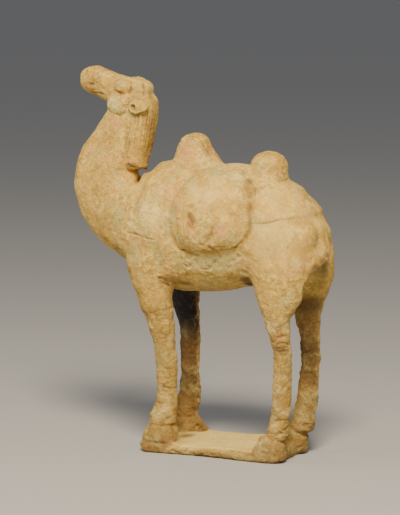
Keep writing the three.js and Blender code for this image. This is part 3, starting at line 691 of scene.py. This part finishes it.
STAINS = [
    ((-96, -17, 284), (10, 8, 3.5), 1.0),
    ((-104, -20, 281), (10, 8, 3), 0.5),
    ((47, -35, 266), (6, 8, 13), 0.5),
    ((41, -29, 276), (5, 7, 9), 0.75),
    ((50, -44, 248), (6, 8, 14), 0.5),
    ((-8.6, -57, 236), (7, 8, 11), 0.62),
    ((-16, -8, 301), (7, 9, 12), 0.4),
    ((8, -52, 209), (14, 12, 4), 0.5),
    ((-20, -48, 208), (10, 8, 3), 0.4),
    ((35, -24, 172), (6, 12, 7), 0.9),
    ((-45, -38, 175), (16, 12, 7), 0.9),
    ((-30, -28, 171), (16, 10, 5), 0.7),
    ((38, -30, 176), (10, 12, 8), 1.0),
    ((10, -10, 166), (46, 30, 8), 0.4),
    ((-138, 0, 355), (16, 14, 6), 0.9),
    ((-81, -10, 358), (5, 8, 9), 0.55),
    ((-80, 0, 325), (8, 16, 22), 0.45),
    ((-86, 0, 295), (6, 14, 12), 0.4),
    ((-112, -32, 228), (12, 14, 16), 0.4),
    # This dab is painted shade in the groove beside the tail.
    ((104.5, -10.5, 223), (3.2, 4.5, 14), 0.5, 0),
    ((-78, -26, 198), (8, 20, 16), 0.4, 0),
    ((79, -40, 114), (13, 14, 10), 0.75, 0),
    ((51, -45, 258), (4, 7, 12), 0.5),
    # These four dabs are painted shade, darkening the band under the edge of the tail's curl.
    ((111.5, -4, 203.5), (4, 7, 4), 0.55, 0),
    ((110, -12, 199), (4, 8, 4), 0.7, 0),
    ((107, -21, 193.6), (4, 8, 4), 0.8, 0),
    ((103, -28, 187), (4, 8, 5), 0.6, 0),
    ((96, -40, 171), (5, 8, 8), 0.5, 0),
    ((-126, -31, 264), (8, 8, 8), 0.35),
    ((-84, -43, 183), (6, 8, 8), 0.6),
    ((74, -37, 18), (5, 6, 4), 0.7, 0),
    ((83, -38, 102), (8, 10, 7), 0.6, 0),
    ((92, -18, 170), (14, 16, 18), 0.6),
    ((-47, -26, 158), (14, 12, 12), 0.4),
    ((-62, -38, 8), (22, 8, 6), 0.7),
    ((-55, -38, 3), (24, 6, 4), 0.9),
    ((-46, 26, 40), (12, 14, 26), 0.6),
    ((-40, 26, 20), (9, 10, 9), 0.8),
    ((74, -28, 110), (12, 14, 14), 0.6),
    # On the far legs these four dabs, and the one at (-50, 28, 62) below, are soil stain and also painted shade, as the
    # far legs stand in the body's shade.
    ((78, 24, 100), (14, 16, 40), 0.8),
    ((-57, 28, 130), (20, 18, 60), 1.0),
    ((-53, 30, 165), (22, 16, 26), 1.0),
    ((78, 28, 150), (20, 18, 40), 0.6),
    ((-146, -12, 366), (9, 6, 9), 0.3),
    ((-79, -6, 356), (5, 9, 8), 0.85),
    ((101, 10, 188), (12, 20, 22), 0.75, 0),
    ((-46, 2, 12), (11, 17, 3), 0.9, 0),
    ((106, -12, 190), (6, 10, 5), 0.35, 0),
    ((112, 1, 211), (3, 3.5, 9), 0.6, 0),
    ((-50, 28, 62), (14, 14, 30), 1.0, 0),
    ((-62, -44, 152), (20, 14, 26), 0.35),
    ((-60, -38, 20), (16, 10, 10), 0.6, 0),
    # This dab is painted shade on the chest's lower front, where it turns away from the light.
    ((-102, -28, 200), (10, 14, 22), 0.7),
]
PINKS = [
    ((26, -57, 227), (10, 12, 10), 1.0), ((2, -54, 250), (18, 12, 14), 0.5), ((70, -44, 245), (18, 14, 12), 0.5),
    ((-36, -20, 300), (14, 14, 16), 0.8), ((-96, -30, 322), (14, 14, 20), 0.2), ((-143, -12, 371), (10, 8, 7), 0.9),
    ((-112, -20, 326), (8, 10, 8), 0.9), ((46, 0, 292), (16, 24, 14), 0.5), ((-66, -42, 240), (16, 14, 14), 0.6),
    ((-118, -30, 292), (8, 10, 18), 0.7), ((-50, -36, 262), (16, 12, 10), 0.6), ((76, -44, 196), (18, 12, 20), 0.35),
    ((-108, -34, 268), (14, 14, 16), 0.5),
]
GREENS = [
    ((-113, -18, 345), (12, 10, 11), 1.0), ((-100, -38, 232), (7, 12, 24), 1.0), ((-36, -46, 236), (7, 12, 24), 1.0),
    ((-66, -42, 252), (12, 12, 10), 0.5), ((6, -30, 282), (18, 16, 12), 0.8), ((12, -56, 232), (14, 10, 22), 0.4),
    # The dab at (105, -12, 224) is an olive painted shade in the groove beside the tail.
    ((-76, -44, 196), (14, 12, 22), 0.8), ((-50, -44, 196), (8, 12, 22), 0.8), ((105, -12, 224), (6, 7, 16), 0.8, 0),
    ((79, -38, 112), (12, 14, 12), 0.9, 0), ((-56, -40, 96), (12, 14, 24), 1.0, 0), ((70, -38, 56), (12, 14, 30), 0.8, 0),
    # The dab at (-104, -28, 205) is an olive painted shade on the chest's lower front.
    ((-104, -28, 205), (12, 14, 26), 0.7), ((-118, -32, 226), (14, 14, 16), 0.7),
    ((20, -44, 198), (24, 10, 10), 0.6), ((-125, -26, 300), (10, 12, 18), 0.4), ((42, -54, 232), (10, 10, 18), 0.5),
    ((35, -56, 222), (8, 10, 8), 0.8),
]
PALES = [
    ((-62, -46, 236), (26, 16, 24), 0.75), ((5, -48, 262), (24, 18, 18), 0.4), ((4, -43, 193), (40, 12, 12), 1.0), ((-116, -20, 345), (14, 10, 12), 0.9),
    ((-100, -14, 330), (12, 12, 26), 0.3), ((6, 0, 285), (40, 30, 10), 0.7), ((74, -46, 222), (34, 14, 30), 0.5),
    ((-124, -26, 290), (12, 16, 24), 0.25), ((-85, -12, 362), (14, 14, 10), 0.3), ((-78, 0, 268), (12, 24, 8), 0.6),
    ((28, -28, 278), (14, 12, 10), 0.8), ((58, -36, 14), (18, 12, 12), 0.9), ((106, 0, 224), (6, 6, 16), 0.15, 0),
    ((0, 0, 12), (62, 60, 6), 1.0), ((-52, -38, 62), (10, 10, 12), 0.6), ((70, -38, 40), (10, 10, 14), 0.3),
    ((-55, -34, 90), (10, 12, 20), 0.3), ((46, -38, 4), (12, 5, 4), 1.0), ((94, -30, 222), (8, 12, 26), 0.3, 0),
    ((92, -4, 252), (8, 10, 6), 0.7, 0), ((-38, -49, 215), (6, 7, 7), 0.6), ((-52, -40, 262), (8, 8, 6), 0.5),
    # On this line the dab at (-93, -15, 271) is painted light on the neck's shaded corner under the mane, and the dab
    # at (74, 14, 27) is painted light on the far hind foot's shaded front.
    ((-141, -12.5, 368), (4, 5, 4), 0.6), ((-93, -15, 271), (7, 9, 7), 0.9, 0), ((-128, -32, 221), (8, 8, 8), 0.6), ((74, 14, 27), (6, 7, 8), 0.8, 0),
    ((95, -40, 200), (9, 9, 9), 0.6, 0), ((30, -46, 202), (14, 8, 6), 1.0), ((-4, -45, 199), (10, 8, 6), 0.9),
]
BARES = [
    ((108, -4, 223), (6, 6, 17), 0.7, 0), ((-81, -20, 345), (5, 6, 4), 0.7),
    ((-126, -26, 262), (22, 20, 34), 0.9), ((-118, -30, 230), (22, 18, 24), 0.9), ((-118, -20, 312), (12, 18, 18), 0.7),
    ((-143, -12, 368), (12, 10, 9), 0.8), ((-64, -42, 152), (22, 14, 30), 1.0), ((-56, -36, 112), (16, 14, 30), 0.7),
    ((-62, -30, 24), (22, 20, 16), 0.9), ((78, -36, 112), (14, 14, 14), 0.8), ((-107, -16, 362), (11, 8, 8), 0.2),
    ((-92, -12, 360), (12, 12, 10), 0.45), ((-94, -16, 318), (9, 10, 30), 0.4), ((76, -44, 218), (30, 14, 26), 0.45),
    ((74, -32, 256), (22, 22, 16), 0.4), ((48, 0, 292), (20, 26, 16), 0.35), ((-18, 0, 304), (16, 20, 14), 0.3),
]
SPECKLED = [((-143, -10, 367), (17, 12, 12), 1.1)]
# Painted shadows, not soil: under the mane's foot, in the corner where the belly meets the hind legs, and on the slab
# between the front feet.
PAINTED_SHADOWS = [((-96, -2, 279.5), (11, 19, 3.4), 0.5), ((36, -20, 172.5), (6, 9, 5), 0.75), ((-42, 4, 12), (10, 14, 4), 0.3)]
CLEANS = [((8, -46, 201), (34, 12, 8), 1.0), ((-96, -14, 271), (11, 12, 9), 1.0)]
RUSTS = [
    ((109, -3, 218), (4, 4, 13), 0.7, 0), ((100, 6, 178), (12, 18, 18), 0.7, 0),
    ((-8, -58, 234), (6, 8, 8), 1.0, 0), ((-14, -8, 302), (6, 8, 8), 0.8, 0), ((78, -40, 128), (12, 10, 6), 0.7, 0),
    ((-46, -32, 145), (8, 14, 26), 0.6), ((110, 1, 211), (4, 5, 14), 0.5, 0), ((80, 26, 126), (12, 14, 16), 0.8, 0),
    ((-42, 28, 62), (6, 10, 20), 0.8, 0), ((6, -52, 205), (9, 8, 5), 0.7, 0), ((-94, -14, 358), (9, 8, 7), 0.6),
    ((-144, -12, 359.6), (6, 6, 4), 0.7), ((-105, -18, 362), (6, 6, 4), 0.4), ((56, -44, 264), (3, 6, 10), 0.5),
    ((-80, -12, 330), (6, 10, 22), 0.4), ((-84, -18, 342), (6, 5, 5), 0.5),
]


def dabs(spots):
    """How strongly a wash of dabs covers each point. Each dab is repeated on the other side, at 0.7 of its
    strength where no other share is given."""
    wash = np.zeros(count)
    for centre, radii, strength, *other_share in spots:
        wide = np.array(radii) * 1.5
        wash = np.maximum(wash, strength * closeness(rows, centre, wide))
        if abs(centre[1]) > 6:
            other = (centre[0] + 4, -centre[1], centre[2] - 3)
            share = other_share[0] if other_share else 0.7
            wash = np.maximum(wash, share * strength * closeness(rows, other, wide))
    return wash


low_down = np.clip((180 - rows[:, 2]) / 34, 0, 1) * 0.4 + np.clip((40 - rows[:, 2]) / 30, 0, 1) * 0.3
slab_top = (rows[:, 2] < 15.5) & (facing[:, 2] > 0.7) & (np.abs(rows[:, 0]) < 60)
low_down = np.where(slab_top, 0.0, low_down)
slab_side = np.clip((12.5 - rows[:, 2]) / 2, 0, 1) * (np.abs(facing[:, 2]) < 0.7) * np.clip((50 - np.abs(rows[:, 0])) / 14, 0, 1)
low_down -= slab_side * 0.3
# Faces that turn downwards are darkened: painted shade.
underside = np.clip(-facing[:, 2] - 0.2, 0, 1) * 0.35
# Painted shade on the inner sides of the far legs: blue-black high on the front leg, brown lower down and on the hind
# leg. The tables give how deep it is at each height.
inner_far = np.clip(0.2 - 1.6 * facing[:, 1], 0, 1) * (rows[:, 1] > 6) * np.clip((178 - rows[:, 2]) / 20, 0, 1)
FORE_DEEP_SHADE = ([104, 113, 123, 133], [0, 0.54, 0.73, 0.91])
FORE_SHADE = ([8, 16, 27, 39, 51, 63, 76, 88, 100, 113, 126], [0, 0.2, 0.25, 0.46, 0.58, 0.66, 0.65, 0.67, 0.64, 0.5, 0.2])
HIND_SHADE = (
    [27, 39, 51, 65, 79, 89, 99, 109, 119, 129, 141, 149, 155, 160, 164],
    [0, 0.27, 0.31, 0.34, 0.56, 0.55, 0.66, 0.67, 0.56, 0.51, 0.42, 0.54, 0.48, 0.25, 0.05],
)
fore_deep_shade = inner_far * (rows[:, 0] < 0) * np.interp(rows[:, 2], *FORE_DEEP_SHADE)
brown_shade = inner_far * np.where(
    rows[:, 0] < 0, np.interp(rows[:, 2], *FORE_SHADE), np.interp(rows[:, 2], *HIND_SHADE)
)
# The soil wash is soil and also painted shade, from the downward faces and the far legs' inner sides.
soil_and_shade = np.clip(np.maximum(dabs(STAINS), low_down + underside) + kept["lines"] * 0.5 + (fore_deep_shade + brown_shade) * 0.6, 0, 1)
WASHES = {
    "soil_and_shade": soil_and_shade,
    "hollow": np.clip(kept["hollow"] * (1 - 0.8 * dabs(CLEANS)) + kept["lines"] * 0.8, 0, 1),
    "ridge": kept["ridge"],
    "coarse": np.maximum(kept["coarse"], dabs(SPECKLED)),
    # This wash and the next hold painted shade: the far legs' inner sides and the painted shadows.
    "deep_shade": np.maximum(fore_deep_shade, dabs(PAINTED_SHADOWS)),
    "shade": brown_shade,
    "pink": dabs(PINKS),
    "green": dabs(GREENS),
    "pale": dabs(PALES),
    "bare": dabs(BARES),
    "rust": dabs(RUSTS),
    "even": kept["even"],
}
for name, wash in WASHES.items():
    layer = skin.attributes.new(name, "FLOAT", "POINT")
    layer.data.foreach_set("value", wash.astype(np.float32))

# The fired clay, from outside in: soil, what is left of a thin cream slip, and buff terracotta.
# Low-fired and unglazed, it is quite dull, with a sandy grain of about half a millimetre, which is
# drawn a little coarser so that it shows.
BUFF_CLAY = "CDAA58"
CREAM_SLIP = "EBC867"
PALE_SLIP = "F4DF90"
PINK_TINGE = "EAAE74"
GREEN_TINGE = "CDC07C"
# The two soil colours also carry the painted shade that goes through the soil wash.
BROWN_SOIL_AND_SHADE = "A3824D"
DARK_SOIL_AND_SHADE = "5A4732"
# Painted shade: a blue-black for the deepest shade and the painted shadows, and a brown for the shade lower on the far
# legs.
SHADE_BLUE_BLACK = "2E313A"
SHADE_BROWN = "4A3420"
RUST_STAIN = "CE9450"


def linear(colour):
    """An sRGB hex colour as linear values for a shader."""
    parts = [int(colour[i : i + 2], 16) / 255 for i in (0, 2, 4)]
    return (*[p / 12.92 if p <= 0.04045 else ((p + 0.055) / 1.055) ** 2.4 for p in parts], 1)


terracotta = bpy.data.materials.new("terracotta with worn cream slip")
terracotta.use_nodes = True
nodes, links = terracotta.node_tree.nodes, terracotta.node_tree.links
shader = nodes["Principled BSDF"]


def add(kind, inputs, **settings):
    """Adds one node with its settings, and sets or links its inputs."""
    made = nodes.new(kind)
    for key, value in settings.items():
        setattr(made, key, value)
    for key, value in inputs.items():
        if isinstance(value, bpy.types.NodeSocket):
            links.new(value, made.inputs[key])
        else:
            made.inputs[key].default_value = value
    return made


place = add("ShaderNodeTexCoord", {}).outputs["Object"]
patches = add("ShaderNodeTexNoise", {"Vector": place, "Scale": 26, "Detail": 5, "Roughness": 0.6, "Distortion": 0.8})
blotches = add("ShaderNodeTexNoise", {"Vector": place, "Scale": 85, "Detail": 6, "Roughness": 0.65, "Distortion": 0.5})
tinges = [
    add("ShaderNodeTexNoise", {"Vector": place, "W": w, "Scale": size, "Detail": 4, "Roughness": 0.6}, noise_dimensions="4D")
    for w, size in ((1.7, 62), (6.1, 74), (3.3, 48))
]
mottle = add("ShaderNodeTexNoise", {"Vector": place, "Scale": 260, "Detail": 5, "Roughness": 0.7})
grain = add("ShaderNodeTexNoise", {"Vector": place, "Scale": 900, "Detail": 3, "Roughness": 0.6})
washes = {name: add("ShaderNodeAttribute", {}, attribute_name=name).outputs["Fac"] for name in WASHES}


def masked(wash, pattern, low, high, amount):
    """A wash broken up by a pattern, from 0 to amount."""
    sum_up = add("ShaderNodeMath", {0: wash, 1: pattern}, operation="ADD")
    return add(
        "ShaderNodeMapRange",
        {"Value": sum_up.outputs[0], "From Min": low, "From Max": high, "To Min": 0.0, "To Max": amount},
        interpolation_type="SMOOTHSTEP",
    ).outputs[0]


slip_left = masked(patches.outputs["Fac"], blotches.outputs["Fac"], 0.86, 1.12, 1.0)
colour = add("ShaderNodeMix", {0: slip_left, 6: linear(BUFF_CLAY), 7: linear(CREAM_SLIP)}, data_type="RGBA").outputs[2]
LAYERS = [
    (masked(tinges[0].outputs["Fac"], blotches.outputs["Fac"], 1.0, 1.18, 0.5), PINK_TINGE),
    (masked(tinges[1].outputs["Fac"], patches.outputs["Fac"], 1.0, 1.18, 0.6), GREEN_TINGE),
    (masked(tinges[2].outputs["Fac"], mottle.outputs["Fac"], 1.04, 1.2, 0.5), PALE_SLIP),
    (masked(washes["pink"], blotches.outputs["Fac"], 0.7, 1.3, 0.85), PINK_TINGE),
    (masked(washes["green"], patches.outputs["Fac"], 0.74, 1.35, 0.8), GREEN_TINGE),
    # The pale wash also holds two dabs of painted light.
    (masked(washes["pale"], blotches.outputs["Fac"], 0.62, 1.3, 0.85), PALE_SLIP),
    (masked(washes["bare"], blotches.outputs["Fac"], 0.62, 1.3, 0.9), BUFF_CLAY),
    (masked(washes["rust"], mottle.outputs["Fac"], 0.66, 1.35, 0.85), RUST_STAIN),
    (masked(washes["ridge"], mottle.outputs["Fac"], 0.7, 1.3, 0.5), PALE_SLIP),
    (masked(washes["soil_and_shade"], blotches.outputs["Fac"], 0.62, 1.35, 0.95), BROWN_SOIL_AND_SHADE),
    (masked(washes["hollow"], mottle.outputs["Fac"], 0.62, 1.45, 0.75), BROWN_SOIL_AND_SHADE),
    (masked(washes["soil_and_shade"], mottle.outputs["Fac"], 1.12, 1.75, 0.8), DARK_SOIL_AND_SHADE),
    (masked(washes["coarse"], mottle.outputs["Fac"], 1.52, 1.68, 0.55), BROWN_SOIL_AND_SHADE),
    (masked(washes["coarse"], tinges[1].outputs["Fac"], 1.5, 1.66, 0.5), GREEN_TINGE),
    (masked(washes["coarse"], tinges[0].outputs["Fac"], 1.52, 1.66, 0.6), PALE_SLIP),
    # The last two layers are painted shade: brown on the far legs' inner sides, and blue-black high on the far front
    # leg and in the painted shadows.
    (masked(washes["shade"], 0.0, 0.0, 1.0, 1.0), SHADE_BROWN),
    (masked(washes["deep_shade"], 0.0, 0.0, 1.0, 1.0), SHADE_BLUE_BLACK),
]
for share, tone in LAYERS:
    colour = add("ShaderNodeMix", {0: share, 6: colour, 7: linear(tone)}, data_type="RGBA").outputs[2]
edge_off = add("ShaderNodeMath", {0: blotches.outputs["Fac"], 1: 0.52}, operation="SUBTRACT")
edge_near = add("ShaderNodeMath", {0: edge_off.outputs[0]}, operation="ABSOLUTE")
flake_edge = add(
    "ShaderNodeMapRange",
    {"Value": edge_near.outputs[0], "From Min": 0.0, "From Max": 0.012, "To Min": 1.0, "To Max": 0.0},
)
edge_here = masked(tinges[2].outputs["Fac"], washes["coarse"], 0.5, 1.1, 0.6)
edge_soil = add("ShaderNodeMath", {0: flake_edge.outputs[0], 1: edge_here}, operation="MULTIPLY")
colour = add("ShaderNodeMix", {0: edge_soil.outputs[0], 6: colour, 7: linear(BROWN_SOIL_AND_SHADE)}, data_type="RGBA").outputs[2]
speckle = add(
    "ShaderNodeMapRange",
    {"Value": mottle.outputs["Fac"], "From Min": 0.36, "From Max": 0.6, "To Min": 0.77, "To Max": 1.06},
)
grain_shade = add(
    "ShaderNodeMapRange",
    {"Value": grain.outputs["Fac"], "From Min": 0.3, "From Max": 0.7, "To Min": 0.9, "To Max": 1.06},
)
shade = add("ShaderNodeMath", {0: speckle.outputs[0], 1: grain_shade.outputs[0]}, operation="MULTIPLY")
evened = add("ShaderNodeMath", {0: washes["even"], 1: 0.7}, operation="MULTIPLY")
shade = add("ShaderNodeMix", {0: evened.outputs[0], 2: shade.outputs[0], 3: 0.94}, data_type="FLOAT")
shaded = add(
    "ShaderNodeVectorMath", {0: colour, "Scale": shade.outputs[0]}, operation="SCALE"
)
links.new(shaded.outputs[0], shader.inputs["Base Color"])
dull = add(
    "ShaderNodeMapRange",
    {"Value": blotches.outputs["Fac"], "From Min": 0.3, "From Max": 0.7, "To Min": 0.82, "To Max": 0.98},
)
links.new(dull.outputs[0], shader.inputs["Roughness"])
shader.inputs["Specular IOR Level"].default_value = 0.22
pits = add("ShaderNodeTexNoise", {"Vector": place, "Scale": 520, "Detail": 4, "Roughness": 0.65})
flakes = add(
    "ShaderNodeMapRange",
    {"Value": blotches.outputs["Fac"], "From Min": 0.47, "From Max": 0.53, "To Min": 0.0, "To Max": 1.0},
    interpolation_type="SMOOTHSTEP",
)
height = add("ShaderNodeMath", {0: flakes.outputs[0], 1: 0.35, 2: pits.outputs["Fac"]}, operation="MULTIPLY_ADD")
height = add("ShaderNodeMath", {0: grain.outputs["Fac"], 1: 0.5, 2: height.outputs[0]}, operation="MULTIPLY_ADD")
rough = add(
    "ShaderNodeMapRange",
    {"Value": washes["even"], "From Min": 0.0, "From Max": 1.0, "To Min": 1.0, "To Max": 0.4},
)
deep = add(
    "ShaderNodeMapRange",
    {"Value": washes["coarse"], "From Min": 0.0, "From Max": 1.0, "To Min": 1.1 * MM, "To Max": 1.6 * MM},
)
bump = add(
    "ShaderNodeBump", {"Height": height.outputs[0], "Strength": rough.outputs[0], "Distance": deep.outputs[0]}
)
links.new(bump.outputs[0], shader.inputs["Normal"])

skin.materials.append(terracotta)
take_up(camel)
bpy.ops.object.shade_smooth()
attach(camel, "root")
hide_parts("camel_figure")

# The floor and the light
# A plain pale floor, a large soft lamp high on the right and a weak fill on the left.
bpy.ops.object.select_all(action="DESELECT")
bpy.ops.mesh.primitive_plane_add(size=400, location=(0, 0, 0))
floor = bpy.context.object
floor.name = "floor"
pale = bpy.data.materials.new("pale floor")
pale.use_nodes = True
pale.node_tree.nodes["Principled BSDF"].inputs["Base Color"].default_value = linear("B6B9C0")
pale.node_tree.nodes["Principled BSDF"].inputs["Roughness"].default_value = 0.9
floor.data.materials.append(pale)
floor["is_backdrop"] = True

LAMPS = [
    ("key lamp", (0.75, -1.5, 1.9), 0.7, 97, "FFEAC6"),
    ("fill lamp", (-1.7, -1.2, 0.9), 1.2, 12, "FFEFD8"),
]
for name, spot, size, power, tone in LAMPS:
    bpy.ops.object.light_add(type="AREA", location=spot)
    lamp = bpy.context.object
    lamp.name = name
    lamp.data.size = size
    lamp.data.energy = power
    lamp.data.color = linear(tone)[:3]
    aim = Vector((-0.02, 0, 0.2)) - Vector(spot)
    lamp.rotation_euler = aim.to_track_quat("-Z", "Y").to_euler()
world = bpy.data.worlds.new("studio")
bpy.context.scene.world = world
world.use_nodes = True
world.node_tree.nodes["Background"].inputs["Color"].default_value = linear("E2E0DC")
world.node_tree.nodes["Background"].inputs["Strength"].default_value = 0.3

# The camera stands a little above the figure, turned 26.5 degrees to its rear
TURN = math.radians(26.5)
AWAY = 2.456
bpy.ops.object.camera_add(location=(math.sin(TURN) * AWAY, -math.cos(TURN) * AWAY, 0.472))
camera = bpy.context.object
camera.data.sensor_width = 36
camera.data.lens = 2500 * 36 / 515
aim = Vector((-0.028, 0, 0.1935)) - camera.location
camera.rotation_euler = aim.to_track_quat("-Z", "Y").to_euler()
bpy.context.scene.camera = camera

low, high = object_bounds()
